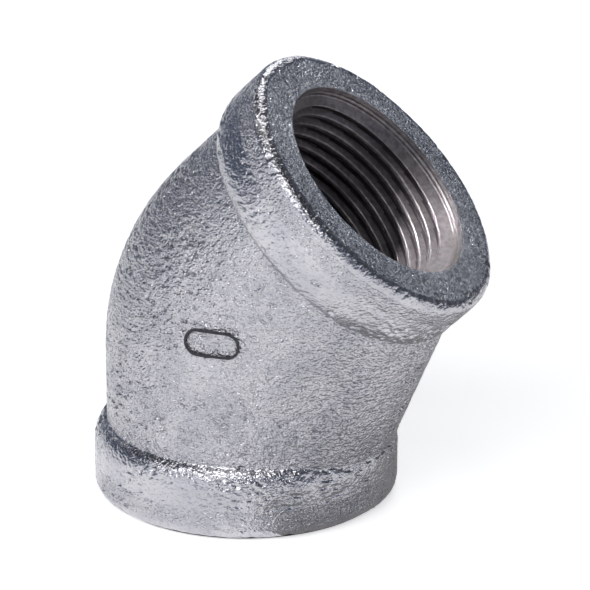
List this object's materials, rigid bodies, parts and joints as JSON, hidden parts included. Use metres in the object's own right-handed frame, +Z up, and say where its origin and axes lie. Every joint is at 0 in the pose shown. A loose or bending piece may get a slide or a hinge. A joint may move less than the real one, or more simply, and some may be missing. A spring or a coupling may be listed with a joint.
{
  "type": "pipe elbow",
  "caption": "Threaded 45 degree pipe elbow in galvanised cast iron, with a raised band round each female threaded mouth; joins two pipes at an angle.",
  "frame": {"origin": "centre of the inlet mouth, on its flat end face", "axes": "+Z up the inlet axis into the fitting, +X the side the outlet leans to, +Y across the bend; the outlet axis lies in the XZ plane, 45 degrees from +Z towards +X"},
  "size_m": [0.0492, 0.038, 0.0547],
  "materials": {
    "galvanised_iron": "hot-dip galvanised, satin with fine spangle",
    "machined_iron": "tapped and machined bare iron"
  },
  "bodies": {
    "root": {"inlet_band": "galvanised_iron", "outlet_band": "galvanised_iron", "elbow_body": "galvanised_iron", "cast_mark": "galvanised_iron", "inlet_thread": "machined_iron", "outlet_thread": "machined_iron"}
  },
  "joints": []
}
